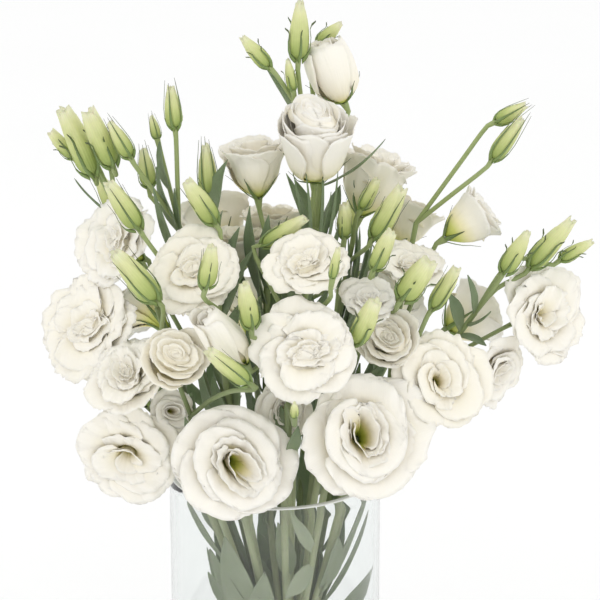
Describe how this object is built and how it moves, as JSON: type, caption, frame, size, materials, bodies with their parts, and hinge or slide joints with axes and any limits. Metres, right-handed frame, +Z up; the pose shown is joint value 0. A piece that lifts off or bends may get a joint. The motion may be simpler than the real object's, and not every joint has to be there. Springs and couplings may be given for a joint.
{
  "type": "lisianthus bouquet in a glass vase",
  "caption": "Full loose bunch of white double lisianthus with open flowers, pale buds and leafy stems, standing in a tall clear glass cylinder vase with water.",
  "frame": {"origin": "centre of the vase's foot, on the surface it stands on", "axes": "+Z up the vase's axis, -Y towards the front of the bunch, +X to the viewer's right"},
  "size_m": [0.3218, 0.23, 0.531],
  "materials": {
    "vase_glass": "clear polished glass",
    "water": "clear still water",
    "petals": "soft satin petal, white with cream and green towards the base",
    "greenery": "matt grey-green stem and leaf, paler yellow-green on the buds"
  },
  "bodies": {
    "root": {"vase": "vase_glass", "water": "water", "stem_back": "greenery", "stem_centre": "greenery", "stem_front_centre": "greenery", "stem_front_far_left": "greenery", "stem_front_left": "greenery", "stem_front_right": "greenery", "stem_left": "greenery", "stem_left_high": "greenery", "stem_left_low": "greenery", "stem_left_top": "greenery", "stem_middle_left": "greenery", "stem_rear_far_right": "greenery", "stem_rear_left": "greenery", "stem_rear_middle": "greenery", "stem_rear_right": "greenery", "stem_right_far": "greenery", "stem_right_front": "greenery", "stem_right_middle": "greenery", "stem_right_top": "greenery", "stem_top": "greenery", "stem_top_left": "greenery", "stem_top_right": "greenery", "bloom_back_centre": "petals", "bloom_back_left_small": "petals", "bloom_back_right": "petals", "bloom_centre_front": "petals", "bloom_centre_rose": "petals", "bloom_far_right_high": "petals", "bloom_front_left": "petals", "bloom_front_right": "petals", "bloom_left_cup": "petals", "bloom_left_high": "petals", "bloom_left_middle": "petals", "bloom_left_nodding": "petals", "bloom_left_ruffled": "petals", "bloom_rear_far_right": "petals", "bloom_rear_high": "petals", "bloom_rear_left": "petals", "bloom_rear_middle": "petals", "bloom_rear_right": "petals", "bloom_right_back": "petals", "bloom_right_cream": "petals", "bloom_right_far": "petals", "bloom_right_low": "petals", "bloom_right_middle": "petals", "bloom_right_open": "petals", "bloom_small_rose": "petals", "bloom_top_bud": "petals", "bloom_top_left": "petals", "bloom_top_right": "petals", "bloom_top_rose": "petals", "bloom_under_centre": "petals", "bloom_under_left": "petals", "bloom_white_bud": "petals"}
  },
  "joints": []
}
